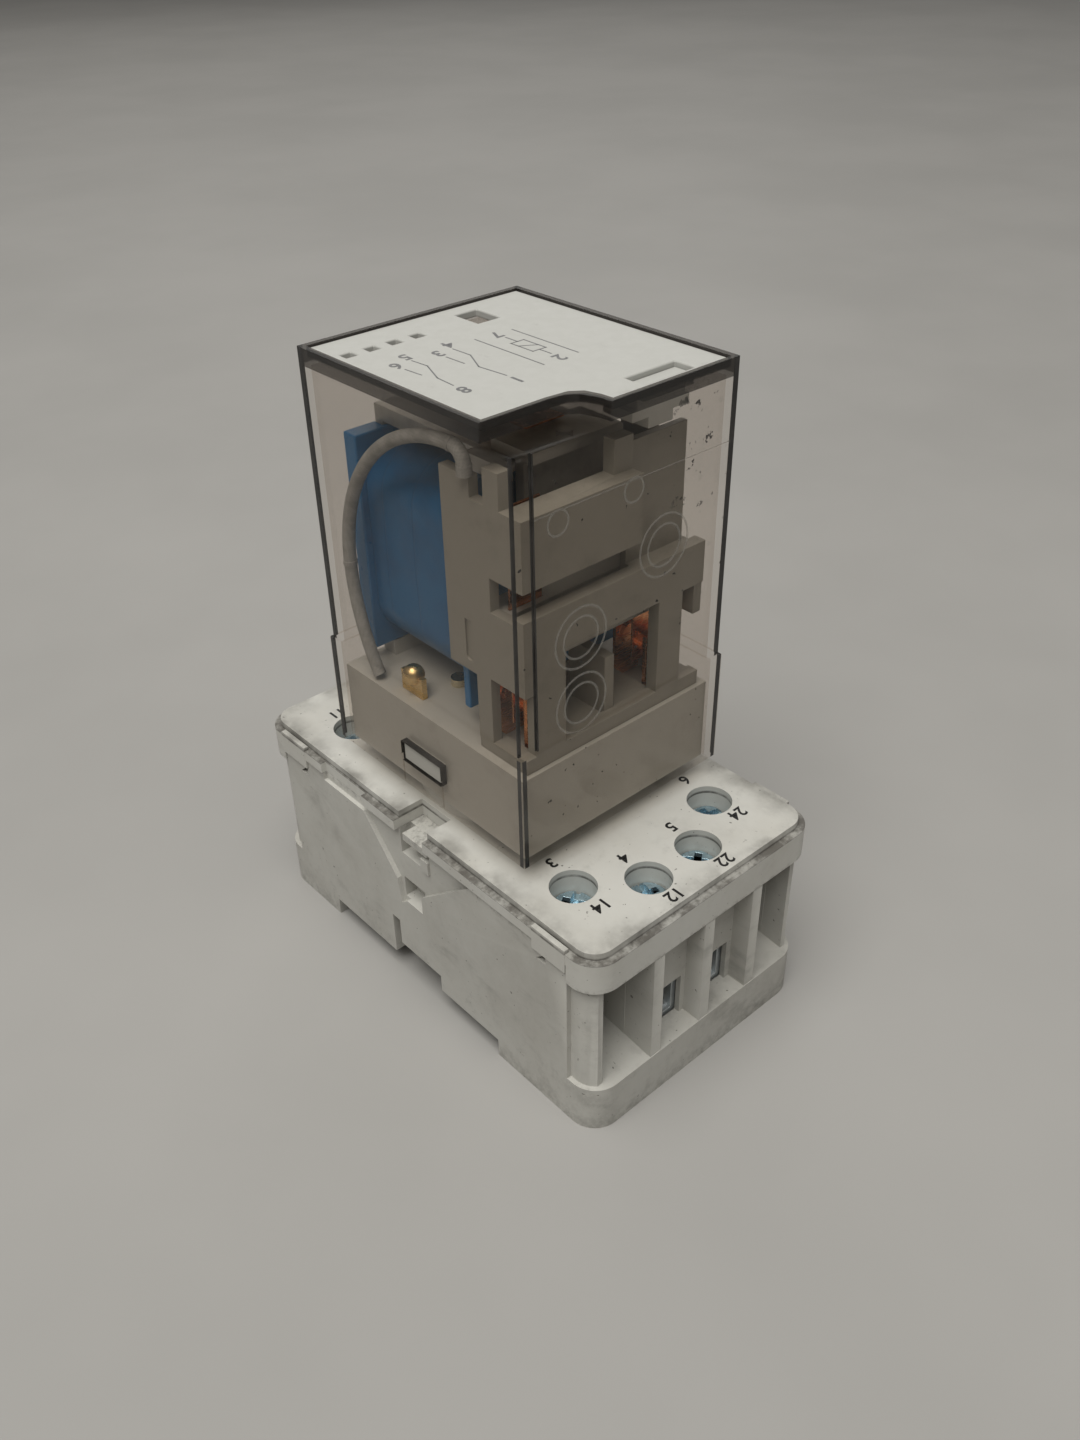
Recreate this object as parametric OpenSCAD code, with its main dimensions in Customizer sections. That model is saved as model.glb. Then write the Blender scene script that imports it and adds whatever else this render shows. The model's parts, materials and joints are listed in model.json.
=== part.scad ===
// Octal plug in relay with a transparent cover, seated in a screw terminal rail socket.
// Origin: bottom centre of the socket. X is across the socket, along the rail.
// Y is the socket's length. Z is up. All sizes are in millimetres.

/* [Socket] */
// overall width of the socket deck
deck_w = 41.7; // [36:0.1:48]
// overall length of the socket deck
deck_l = 71.9; // [60:0.1:90]
// height of the deck top above the feet
deck_z = 31.1; // [24:0.1:40]
// height of the deck rim above the feet
rim_z = 30.0; // [23:0.1:39]
// height of the end aprons' lower edge
apron_z = 25.3; // [20:0.1:30]
// width of the socket body
base_w = 41.2; // [36:0.1:48]
// length of the socket body
base_l = 72.0; // [60:0.1:90]
// thickness of the end flanges
flange_z = 7.5; // [4:0.1:12]
// radius of the vertical corners
corner_r = 4.0; // [2:0.1:6]
// height of the rail recess ceiling
recess_z = 3.0; // [2:0.1:6]
// recess end on the fixed hook side
recess_y0 = -17.0; // [-20:0.1:-12]
// recess end on the sliding latch side
recess_y1 = 21.6; // [16:0.1:26]

/* [Terminals] */
// distance of the outer screws from the middle plane
outer_x = 12.7; // [10:0.1:16]
// distance of the outer screws from the centre along the length
outer_y = 23.8; // [18:0.1:28]
// distance of the inner screws from the middle plane
inner_x = 4.6; // [3:0.1:8]
// distance of the inner screws from the centre along the length
inner_y = 29.1; // [24:0.1:32]
// radius of the screwdriver holes
access_r = 3.1; // [2.5:0.05:4]
// radius of the screw heads
head_r = 2.7; // [2:0.05:3.2]
// radius of the screw threads
thread_r = 1.7; // [1.4:0.05:2]
// middle of the outer wire bays
bay_outer_x = 14.0; // [12:0.1:16]
// middle of the inner wire bays
bay_inner_x = 4.65; // [4:0.05:6]
// width of a wire bay
bay_w = 7.5; // [6:0.1:9]
// height of the screw heads' top
head_z = 28.5; // [26:0.1:29]
// reach of the ribs between the wire bays
rib_y = 35.9; // [34:0.1:35.9]

/* [Octal plug] */
// radius of the pin circle
pin_circle_r = 8.73; // [8:0.01:9.5]
// radius of one pin
pin_r = 1.15; // [1:0.01:1.25]
// height of the pin tips
pin_tip_z = 23.0; // [21:0.1:26]
// radius of the centre post
post_r = 3.95; // [3.5:0.01:4.1]
// height of the centre post's tip
post_tip_z = 20.0; // [19.5:0.1:24]
// radius of the raised plug collar
collar_r = 15.0; // [12:0.1:16]

/* [Relay] */
// height of the relay's underside when plugged in
relay_z = 34.4; // [32:0.1:36]
// height of the relay's top
top_z = 90.6; // [80:0.1:98]
// width of the cover's skirt
skirt_w = 35.0; // [33:0.1:37]
// depth of the cover's skirt
skirt_d = 39.4; // [36:0.1:42]
// width of the cover above the skirt
cover_w = 34.3; // [32:0.1:36]
// depth of the cover above the skirt
cover_d = 38.6; // [35:0.1:41]
// top of the skirt
skirt_z = 50.8; // [46:0.1:56]
// wall of the cover
wall = 1.0; // [0.8:0.05:1.5]
// relay centre along the length
relay_y = -0.4; // [-2:0.1:2]
// top of the relay's plug moulding
plug_z = 46.5; // [42:0.1:48]

/* [Coil] */
// middle height of the coil
coil_z = 64.1; // [58:0.1:70]
// width of the bobbin flanges
flange_w = 26.0; // [20:0.1:27]
// height of the bobbin flanges
flange_h = 30.4; // [24:0.1:32]
// radius of the iron core
core_r = 4.0; // [3:0.1:5]

/* [Hidden] */
$fn = 48;
// corner signs and kind of the eight terminals: x sign, y sign, 0 inner or 1 outer
T = [[-1, -1, 1], [-1, -1, 0], [1, -1, 0], [1, -1, 1], [1, 1, 1], [1, 1, 0], [-1, 1, 0], [-1, 1, 1]];
function tx(i) = T[i][0] * (T[i][2] == 1 ? outer_x : inner_x);
function ty(i) = T[i][1] * (T[i][2] == 1 ? outer_y : inner_y);
function px(i) = T[i][0] * pin_circle_r * (T[i][2] == 1 ? cos(22.5) : sin(22.5));
function py(i) = T[i][1] * pin_circle_r * (T[i][2] == 1 ? sin(22.5) : cos(22.5));
function bx(i) = T[i][0] * (T[i][2] == 1 ? bay_outer_x : bay_inner_x);
// underside of the deck, top of the base and underside of the terminal tongues
plate_z = 28.3;
base_top = 28.25;
tongue_z = 14.6;
// half sizes of a clamp cage and of the chamber that it slides in
cage_hx = 3.2;
cage_hy = 2.8;
chamber_hx = 3.4;
chamber_hy = 3.1;
// front walls of the outer and the inner wire bays
outer_wall_y = 27.2;
inner_wall_y = 33.0;
// armature pivot, and distance of each contact pole from the middle plane
hinge_y = -7.62;
hinge_z = 80.6;
pole_x = 10.2;

module box(x0, x1, y0, y1, z0, z1) {
  translate([x0, y0, z0]) cube([x1 - x0, y1 - y0, z1 - z0]);
}

module slab(w, l, r, z0, z1) {
  translate([0, 0, z0]) linear_extrude(z1 - z0) union() {
    square([w - 2 * r, l], center = true);
    square([w, l - 2 * r], center = true);
    for (sx = [-1, 1]) for (sy = [-1, 1])
      translate([sx * (w / 2 - r), sy * (l / 2 - r)]) circle(r);
  }
}

// beam of rectangular section between two points in plan
module beam(ax, ay, bx, by, w, z0, z1) {
  len = norm([bx - ax, by - ay]);
  translate([ax, ay, z0]) rotate([0, 0, atan2(by - ay, bx - ax)])
    translate([0, -w / 2, 0]) cube([len, w, z1 - z0]);
}

module socket_base() {
  color([0.86, 0.86, 0.84]) difference() {
    union() {
      slab(base_w, base_l, corner_r, 0, flange_z);
      box(-base_w / 2, base_w / 2, -31, 31, flange_z - 1, base_top);
      for (m = [0, 1]) mirror([0, m, 0]) {
        box(-8.5, 8.5, -inner_wall_y, -30, flange_z - 1, base_top);
        for (x = [-9.3, 0, 9.3]) {
          box(x - 0.9, x + 0.9, -rib_y, -27, flange_z - 1, apron_z - 0.1);
          box(x - 0.9, x + 0.9, -34.1, -27, flange_z - 1, base_top);
        }
        for (s = [-1, 1]) {
          intersection() {
            slab(base_w - 1.4, base_l - 1.4, corner_r - 0.7, flange_z - 1, apron_z - 0.1);
            box(s > 0 ? 17.8 : -21, s > 0 ? 21 : -17.8, -34.6, -30, 0, 40);
          }
          box(s > 0 ? 17.8 : -19.4, s > 0 ? 19.4 : -17.8, -31.6, -30, flange_z - 1, base_top);
        }
        // gently rising floors of the wire bays
        for (x = [-bay_outer_x, bay_outer_x]) translate([x - bay_w / 2 - 0.1, 0, 0])
          rotate([90, 0, 90]) linear_extrude(bay_w + 0.2)
            polygon([[-35.2, flange_z - 0.5], [-35.2, flange_z], [-outer_wall_y, flange_z + 1.0], [-outer_wall_y, flange_z - 0.5]]);
      }
    }
    // outer wire bays
    for (s = [-1, 1]) for (m = [0, 1]) mirror([0, m, 0])
      translate([s * bay_outer_x - bay_w / 2, 0, 0]) rotate([90, 0, 90]) linear_extrude(bay_w)
        polygon([[-36.5, flange_z], [-35.2, flange_z], [-outer_wall_y, flange_z + 1.0],
          [-outer_wall_y, base_top + 1], [-36.5, base_top + 1]]);
    for (i = [0:7]) {
      // clamp chamber, wire window, screw tube seat, strip channel and spring contact pocket
      translate([tx(i), ty(i), 0]) {
        box(-chamber_hx, chamber_hx, -chamber_hy, chamber_hy, 6.6, base_top + 1);
        translate([0, 0, 23]) cylinder(h = 7, r = 3.7);
      }
      window_lo = max(bx(i) - bay_w / 2, tx(i) - 2.9);
      window_hi = min(bx(i) + bay_w / 2, tx(i) + 2.9);
      sill_z = flange_z + T[i][2];
      box(window_lo, window_hi, min(ty(i), ty(i) + T[i][1] * 6), max(ty(i), ty(i) + T[i][1] * 6), sill_z,
        T[i][2] == 1 ? 19.2 : 14.5);
      beam(tx(i), ty(i), px(i), py(i), 3.4, tongue_z - 0.1, base_top + 1);
      translate([px(i), py(i), tongue_z - 0.1]) cylinder(h = 20, r = 2.5);
    }
    // seat of the octal post
    translate([0, 0, 19]) cylinder(h = 12, r = post_r + 0.1);
    box(-0.95, 0.95, 0, 5.2, 19, 31);
    // rail recess, its stepped edge and the slits under the side walls
    box(-22, 22, recess_y0, recess_y1, -1, recess_z);
    for (s = [-1, 1]) {
      box(s * 19.3 - 1.6, s * 19.3 + 1.6, 4.7, 6.4, -1, 10.4);
      box(s * 19.3 - 1.6, s * 19.3 + 1.6, -4.5, 4.8, -1, 5.9);
      // shallow triangular relief with the retaining clip seats
      translate([s > 0 ? 19.9 : -20.7, 0, 0]) rotate([90, 0, 90]) linear_extrude(0.8)
        polygon([[12.2, 29], [12.2, 28.3], [4.1, 18.9], [3.5, 14.7], [-12.8, 28.3], [-12.8, 29]]);
      box(s > 0 ? 18 : -22, s > 0 ? 22 : -18, -3.0, 3.3, 23.9, 30);
      box(s > 0 ? 18 : -22, s > 0 ? 22 : -18, -1.4, 3.3, 15.8, 19.4);
      box(s > 0 ? 20 : -22, s > 0 ? 22 : -20, 10.9, 20.9, 27, 30);
      for (m = [-1, 1]) {
        box(s > 0 ? 20.1 : -22, s > 0 ? 22 : -20.1, m * 28 - 3.1, m * 28 + 3.1, 26.8, 30);
        translate([s > 0 ? 19.4 : -20.8, m * 26.3, 26.0]) rotate([90, 0, 90]) linear_extrude(1.4)
          polygon([[-0.9, -0.7], [0.9, -0.7], [-0.9, 0.85]]);
      }
    }
    // latch guide and spring pocket
    box(-7.2, 7.2, 15, 37, -1, 2.1);
    box(-8.6, 8.6, 21, 37, 1.0, 2.1);
    box(-2.6, 2.6, 22.6, 33.2, 2.0, 4.6);
  }
  // clip bars and their steps in the side pockets
  color([0.86, 0.86, 0.84]) for (s = [-1, 1]) {
    box(s > 0 ? 17.9 : -20.3, s > 0 ? 20.3 : -17.9, -3.1, 2.2, 27.0, 28.2);
    box(s > 0 ? 17.9 : -20.3, s > 0 ? 20.3 : -17.9, -3.1, -1.5, 23.8, 26.0);
  }
  // fixed rail hook
  color([0.86, 0.86, 0.84]) box(-10, 10, recess_y0 - 0.5, recess_y0 + 1.8, 0, 1.7);
}

module socket_deck() {
  color([0.88, 0.88, 0.86]) difference() {
    union() {
      slab(deck_w, deck_l, corner_r, plate_z, rim_z);
      slab(deck_w - 2.0, deck_l - 2.0, corner_r - 1.0, rim_z - 0.5, deck_z);
      // end aprons
      for (m = [0, 1]) mirror([0, m, 0]) difference() {
        intersection() {
          slab(deck_w, deck_l, corner_r, apron_z, plate_z + 0.5);
          box(-30, 30, -40, -31.1, 0, 40);
        }
        slab(deck_w - 2.6, deck_l - 3.4, corner_r - 1.3, apron_z - 1, plate_z);
      }
      // side clips
      for (s = [-1, 1]) for (m = [-1, 1])
        box(s > 0 ? 20.2 : -20.95, s > 0 ? 20.95 : -20.2, m * 28 - 3, m * 28 + 3, 26.9, rim_z + 0.6);
      translate([0, 0, deck_z - 0.5]) cylinder(h = relay_z - 0.05 - deck_z + 0.5, r = collar_r);
      for (i = [0:7]) translate([tx(i), ty(i), 23.6]) cylinder(h = 6, r = 3.6);
    }
    for (i = [0:7]) {
      translate([tx(i), ty(i), 20]) cylinder(h = 20, r = access_r);
      translate([px(i), py(i), 20]) cylinder(h = 20, r = 1.35);
    }
    translate([0, 0, 20]) cylinder(h = 20, r = post_r + 0.1);
    box(-0.95, 0.95, 0, 5.2, 20, 40);
    for (s = [-1, 1]) {
      box(s > 0 ? 15.8 : -22, s > 0 ? 22 : -15.8, -3.0, 3.3, 26, 33);
      box(s > 0 ? 20 : -22, s > 0 ? 22 : -20, 10.9, 20.9, 26, rim_z + 0.01);
    }
  }
}

module rail_latch() {
  color([0.86, 0.86, 0.84]) difference() {
    union() {
      box(-7, 7, 16.5, 35.8, 0.2, 1.95);
      box(-8.4, 8.4, 22.2, 32.0, 1.1, 1.95);
      box(-2.2, 2.2, 22.8, 24.2, 1.5, 4.3);
    }
    box(-3, 3, 32.9, 34.7, -1, 3);
  }
}

module latch_spring() {
  color([0.7, 0.7, 0.7]) translate([0, 24.3, 2.3]) {
    for (k = [0:5]) {
      box(-1.9, 1.9, k * 1.7, k * 1.7 + 0.25, 0, 2.0);
      if (k < 5) box(k % 2 == 0 ? 1.65 : -1.9, k % 2 == 0 ? 1.9 : -1.65, k * 1.7, k * 1.7 + 1.95, 0, 2.0);
    }
  }
}

module contact_strip(i) {
  s = T[i][1];
  color([0.85, 0.62, 0.3]) difference() {
    union() {
      box(tx(i) - 1.9, tx(i) + 1.9, ty(i) - 2.9, ty(i) + 2.9, tongue_z, tongue_z + 1);
      beam(tx(i), ty(i), px(i), py(i), 2.8, tongue_z, tongue_z + 1);
      translate([px(i), py(i), tongue_z]) cylinder(h = 13, r = 2.0);
    }
    translate([px(i), py(i), tongue_z + 1.2]) cylinder(h = 20, r = pin_r + 0.05);
    translate([px(i), py(i), 0]) rotate([0, 0, atan2(py(i), px(i))])
      box(-0.3, 3, -0.25, 0.25, tongue_z + 3.5, 40);
  }
}

module clamp_cage(i) {
  color([0.72, 0.73, 0.75]) translate([tx(i), ty(i), 0]) difference() {
    box(-cage_hx, cage_hx, -cage_hy, cage_hy, 7.2, 18.9);
    box(-2.3, 2.3, -4, 4, 8.4, 16.9);
    cylinder(h = 40, r = thread_r + 0.05);
    box(-2.3, 2.3, -4, -2.2, 8.0, 9);
    box(-2.3, 2.3, 2.2, 4, 8.0, 9);
  }
}

module clamp_screw(i) {
  color([0.6, 0.68, 0.74]) translate([tx(i), ty(i), 0]) difference() {
    union() {
      translate([0, 0, tongue_z + 1.05]) cylinder(h = head_z - 2 - tongue_z - 1.05, r = thread_r);
      translate([0, 0, head_z - 2.3]) cylinder(h = 1.6, r = head_r);
      translate([0, 0, head_z - 0.8]) cylinder(h = 0.8, r1 = head_r, r2 = head_r - 0.7);
    }
    rotate([0, 0, 30 + 47 * i]) {
      box(-3, 3, -0.4, 0.4, head_z - 1.1, head_z + 1);
      box(-1.5, 1.5, -0.5, 0.5, head_z - 1.6, head_z + 1);
      box(-0.5, 0.5, -1.5, 1.5, head_z - 1.6, head_z + 1);
    }
  }
}

module cover() {
  sx = skirt_w / 2;
  sy = skirt_d / 2;
  cx = cover_w / 2;
  cy = cover_d / 2;
  color([0.42, 0.38, 0.36, 0.4]) difference() {
    union() {
      translate([0, relay_y, 0]) box(-sx, sx, -sy, sy, relay_z, skirt_z);
      translate([0, relay_y, skirt_z - 0.5]) linear_extrude(top_z - skirt_z + 0.5)
        polygon([[-cx, cy], [cx, cy], [cx, -cy], [-14.6, -cy], [-14.6, -cy + 0.25], [-cx, -cy + 0.55]]);
    }
    translate([0, relay_y, 0]) box(-sx + wall, sx - wall, -sy + wall, sy - wall, relay_z - 1, skirt_z - 0.8);
    translate([0, relay_y, 0]) box(-cx + wall, cx - wall, -cy + wall, cy - wall, skirt_z - 1, top_z - 3.5);
    box(-cx + wall, cx - wall, -13, cy + relay_y - wall, top_z - 4, top_z - 2.3);
    box(-1.4, cx - wall, relay_y - cy + wall, 0, top_z - 4, top_z - 2.3);
    // seat of the label plate
    translate([0, 0, top_z - 1.3]) linear_extrude(3) label_outline(0.1);
    // lowered front corner
    translate([0, 0, top_z - 2.5]) linear_extrude(4)
      polygon([[-18, -21], [-3.2, -21], [-3.4, -18.2], [-4.2, -15.8], [-5.6, -14.8], [-7.6, -14.6], [-18, -14.6]]);
    translate([-7.7, -17.2, 80]) cylinder(h = 20, r = 0.9);
    // button opening
    box(3.2, 11.2, -18.2, -15.2, 80, 95);
    // catch windows and mould lines in the skirt
    for (s = [-1, 1]) {
      box(s * 17.2 - 1.2, s * 17.2 + 1.2, -3.8, 4.6, 38, 41.1);
      box(s * 17.7 - 0.45, s * 17.7 + 0.45, -3.95, -3.7, 30, 39);
      box(s * 17.7 - 0.45, s * 17.7 + 0.45, 4.5, 4.75, 30, 39);
    }
  }
  // guides of the flag
  color([0.42, 0.38, 0.36, 0.4]) for (y = [0, 3.9]) difference() {
    box(2.4, 9.0, y, y + 1.4, 85.4, top_z - 2.2);
    box(4.9, 6.5, y - 1, y + 3, 86.3, 87.5);
  }
}

module label_outline(g) {
  polygon([[-16.25 - g, 18.0 + g], [16.25 + g, 18.0 + g], [16.25 + g, -18.95 - g], [-2.3 - g, -18.95 - g],
    [-2.4 - g, -17.4], [-3.0 - g, -15.4], [-4.4 - g, -14.2 - g], [-7.4, -13.9 - g], [-16.25 - g, -13.9 - g]]);
}

module label_plate() {
  color([0.93, 0.93, 0.92]) difference() {
    translate([0, 0, top_z - 1.25]) linear_extrude(1.0) label_outline(0);
    box(3.9, 7.4, 10.9, 15.5, 80, 95);
    for (x = [-14.2, -10.9, -7.6, -4.2]) box(x - 0.8, x + 0.8, 11.8, 13.3, 80, 95);
    box(3.2, 11.2, -18.2, -15.2, 80, 95);
  }
}

module plug_moulding() {
  color([0.9, 0.89, 0.86]) difference() {
    union() {
      translate([0, relay_y, 0]) box(-16.2, 16.2, -18.4, 18.4, relay_z, plug_z);
      for (s = [-1, 1]) box(s * 16.5 - 0.7, s * 16.5 + 0.7, -3.4, 4.2, 38.3, 40.8);
      translate([0, 0, post_tip_z + 1]) cylinder(h = 20, r = post_r);
      translate([0, 0, post_tip_z]) cylinder(h = 1.01, r1 = post_r - 0.8, r2 = post_r);
      box(-0.85, 0.85, 0, 5.1, post_tip_z + 1, relay_z + 1);
      box(-10, 10, -5.2, -4.0, plug_z - 1, 48.85);
      box(-10, 10, 15.0, 17.6, plug_z - 1, 48.85);
    }
    for (i = [0:7]) translate([px(i), py(i), 30]) cylinder(h = 30, r = pin_r + 0.02);
    for (s = [-1, 1]) for (y = [-12.5, 12.0])
      box(s * 12.5 - 2.2, s * 12.5 + 2.2, y - 3.5, y + 3.5, relay_z - 1, plug_z - 3);
    translate([0, 0, post_tip_z - 1]) cylinder(h = 18, r = 2.4);
  }
}

module plug_pin(i) {
  color([0.8, 0.72, 0.5]) translate([px(i), py(i), 0]) difference() {
    union() {
      translate([0, 0, pin_tip_z + 0.8]) cylinder(h = 47.6 - pin_tip_z - 0.8, r = pin_r);
      translate([0, 0, pin_tip_z]) cylinder(h = 0.81, r1 = pin_r - 0.5, r2 = pin_r);
    }
    translate([0, 0, pin_tip_z - 1]) cylinder(h = 8, r = 0.5);
  }
}

module bobbin() {
  fx = flange_w / 2;
  fz = flange_h / 2;
  color([0.1, 0.4, 0.78]) difference() {
    union() {
      box(-fx, fx, -5.2, -4.0, coil_z - fz, coil_z + fz);
      box(-fx, fx, 15.0, 17.6, coil_z - fz, coil_z + fz);
      box(-6, 6, -4.5, 15.5, coil_z - 6, coil_z + 6);
    }
    translate([0, -10, coil_z]) rotate([-90, 0, 0]) cylinder(h = 40, r = core_r + 0.03);
    box(-8.1, 8.1, 15.9, 20, 49.9, 90);
  }
}

module coil_section(w, h, r) {
  translate([0, -3.95, coil_z]) rotate([-90, 0, 0]) slab(w, h, r, 0, 18.9);
}

module winding() {
  color([0.72, 0.36, 0.16]) difference() {
    coil_section(23.2, 27.2, 5.6);
    box(-6.05, 6.05, -6, 20, coil_z - 6.05, coil_z + 6.05);
  }
}

module coil_tape() {
  color([0.1, 0.42, 0.8]) difference() {
    coil_section(24.0, 28.0, 6.0);
    translate([0, -1, 0]) coil_section(23.3, 27.3, 5.65);
    translate([0, 1, 0]) coil_section(23.3, 27.3, 5.65);
  }
}

module core() {
  color([0.6, 0.6, 0.6]) translate([0, 0, coil_z]) rotate([-90, 0, 0]) {
    translate([0, 0, -7.0]) cylinder(h = 1.75, r = 6);
    translate([0, 0, -6]) cylinder(h = 21.95, r = core_r);
    translate([0, 0, 15]) cylinder(h = 2.7, r = 2.5);
  }
}

module yoke() {
  color([0.62, 0.62, 0.62]) difference() {
    union() {
      box(-8, 8, 16.0, 17.6, 50, 81.6);
      box(-8, 8, -7.0, 17.6, 79.6, 81.6);
      for (s = [-1, 1]) box(s * 8.75 - 0.75, s * 8.75 + 0.75, -8.9, -2.0, 79.6, 81.6);
    }
    translate([-12, hinge_y, hinge_z]) rotate([0, 90, 0]) cylinder(h = 24, r = 0.6);
    translate([0, 10, coil_z]) rotate([-90, 0, 0]) cylinder(h = 10, r = 2.52);
  }
}

module armature() {
  color([0.64, 0.64, 0.64]) {
    box(-7, 7, -9.6, -8.2, 57, 83.1);
    box(-7, 7, -11.0, -4.0, 81.7, 83.1);
    box(-7, 7, -8.4, hinge_y, hinge_z - 0.35, hinge_z + 0.35);
    translate([-9.3, hinge_y, hinge_z]) rotate([0, 90, 0]) cylinder(h = 18.6, r = 0.55);
  }
}

module return_spring() {
  color([0.78, 0.6, 0.35]) {
    box(-3, 3, -5.6, 8, 83.35, 83.6);
    box(-3, 3, 5, 8, 81.65, 83.6);
  }
}

module blade_carrier() {
  color([0.9, 0.88, 0.82]) difference() {
    box(-13.3, 13.3, -14.2, -9.65, 58, 66.5);
    for (s = [-1, 1]) box(s * pole_x - 2.55, s * pole_x + 2.55, -13.25, -12.85, 50, 80);
  }
}

module moving_blade(s) {
  color([0.82, 0.45, 0.25]) translate([s * pole_x, 0, 0]) {
    box(-2.5, 2.5, -13.2, -12.9, 50.6, 79.4);
    translate([0, -14.0, 53]) rotate([-90, 0, 0]) cylinder(h = 1.9, r = 1.5);
  }
}

module fixed_contact(s, y_strip, y_face) {
  out = y_strip < y_face ? -1 : 1;
  color([0.8, 0.5, 0.3]) translate([s * pole_x, 0, 0]) {
    box(-2.2, 2.2, y_strip - 0.3, y_strip + 0.3, plug_z + 0.05, 55);
    box(-2.2, 2.2, min(y_strip, y_strip + out * 1.3), max(y_strip, y_strip + out * 1.3), plug_z + 0.05, 47.2);
    translate([0, min(y_strip, y_face), 53]) rotate([-90, 0, 0]) cylinder(h = abs(y_face - y_strip), r = 1.5);
  }
}

module contact_block() {
  color([0.85, 0.83, 0.76]) difference() {
    union() {
      box(-15, 15, -18.2, -16.6, plug_z + 0.05, 48.6);
      box(-15, 15, -16.8, -9.5, plug_z + 0.05, 48.2);
      for (s = [-1, 1]) {
        box(s * 14.3 - 0.7, s * 14.3 + 0.7, -9.6, -4.4, 57, 82.5);
        box(s * 14.3 - 0.7, s * 14.3 + 0.7, -18.0, -9.4, 57.5, 66.8);
        box(s * 14.3 - 0.7, s * 14.3 + 0.7, -12.0, -9.4, 48, 58);
        box(s * 14.3 - 0.7, s * 14.3 + 0.7, -12.5, -9.4, 66, 80);
      }
      // upper block, cross arm, stem, left wall and right panel
      box(-15, 3.6, -18.2, -14.6, 71.2, 80);
      box(-15, -13.6, -18.2, -9.5, 71.2, 80);
      box(-15, -13.2, -14.6, -12.0, 76, 84.4);
      box(0.6, 3.6, -16.4, -14.6, 79.5, 84.2);
      box(-15, 15, -18.2, -16.4, 61.8, 67.6);
      box(-15, -8.6, -18.2, -16.6, 57.5, 62.0);
      box(-13.4, -8.6, -18.2, -16.6, 48, 58);
      box(7.1, 11.3, -18.2, -16.4, 48, 62);
      box(3.4, 13.2, -15.8, -14.8, 66, 83);
      box(3.4, 13.2, -17.0, -14.8, 66, 67.6);
      box(-0.8, 0.8, -16.8, -10.2, 48, 56.5);
    }
    for (s = [-1, 1]) box(s * pole_x - 2.45, s * pole_x + 2.45, -16.5, -9.0, 40, 49);
    // round mould marks and the slot in the side wall
    translate([-15.2, -8.2, 59]) rotate([0, 90, 0]) cylinder(h = 0.5, r = 0.6);
    box(-15.2, -14.7, -8.8, -7.6, 59, 64);
  }
}

// arc of round lead in the side plane: centre, radius, start angle and sweep
module lead_arc(cy, cz, r, a0, sweep) {
  translate([0, cy, cz]) rotate([90, 0, 90]) rotate([0, 0, a0])
    rotate_extrude(angle = sweep) translate([r, 0]) circle(r = 0.85);
}

module lead_wire(s) {
  color([0.62, 0.61, 0.58]) translate([s * 15.1, 0, 0]) {
    translate([0, -9.2, 82.6]) cylinder(h = 1.3, r = 0.93);
    translate([0, -7.5, 85.6]) rotate([-90, 0, 0]) cylinder(h = 0.6, r = 0.93);
    translate([0, 15.8, 62.3]) cylinder(h = 0.6, r = 0.93);
    lead_arc(-7.2, 83.6, 2.0, 90, 90);
    lead_arc(-7.2, 62.6, 23.0, 0, 90);
    lead_arc(-14.2, 62.6, 30.0, -30.8, 30.8);
  }
}

module coil_terminal(s) {
  color([0.8, 0.62, 0.32]) {
    box(s > 0 ? 13.4 : -14.2, s > 0 ? 14.2 : -13.4, 3.4, 7.8, plug_z + 0.05, 49.6);
    translate([s * 13.8, 5.6, 49.4]) sphere(r = 1.5);
  }
}

module flag() {
  color([0.10, 0.095, 0.09]) {
    box(3.2, 8.2, 9.0, 16.8, 86.4, 87.4);
    box(5.0, 6.4, -3.0, 9.5, 86.4, 87.4);
  }
}

module test_button() {
  color([0.9, 0.9, 0.89]) {
    box(3.35, 11.05, -17.1, -15.35, 86, top_z - 0.9);
    box(2.6, 11.8, -17.1, -13.0, 85.8, 87.0);
    box(5.2, 9.2, -17.1, -9.8, 84.45, 85.9);
  }
}

socket_base();
socket_deck();
rail_latch();
latch_spring();
for (i = [0:7]) {
  contact_strip(i);
  clamp_cage(i);
  clamp_screw(i);
  plug_pin(i);
}
plug_moulding();
cover();
label_plate();
bobbin();
winding();
coil_tape();
core();
yoke();
contact_block();
return_spring();
fixed_contact(-1, -15.05, -14.05);  // normally_closed_1
fixed_contact(1, -15.05, -14.05);  // normally_closed_2
fixed_contact(-1, -9.6, -10.5);  // normally_open_1
fixed_contact(1, -9.6, -10.5);  // normally_open_2
lead_wire(-1);  // lead_wire_1
lead_wire(1);  // lead_wire_2
coil_terminal(-1);  // coil_terminal_1
coil_terminal(1);  // coil_terminal_2
armature();
blade_carrier();
moving_blade(-1);  // moving_blade_1
moving_blade(1);  // moving_blade_2
flag();
test_button();
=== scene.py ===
import bpy
import bmesh
import json
import math
from mathutils import Vector, Matrix


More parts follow.
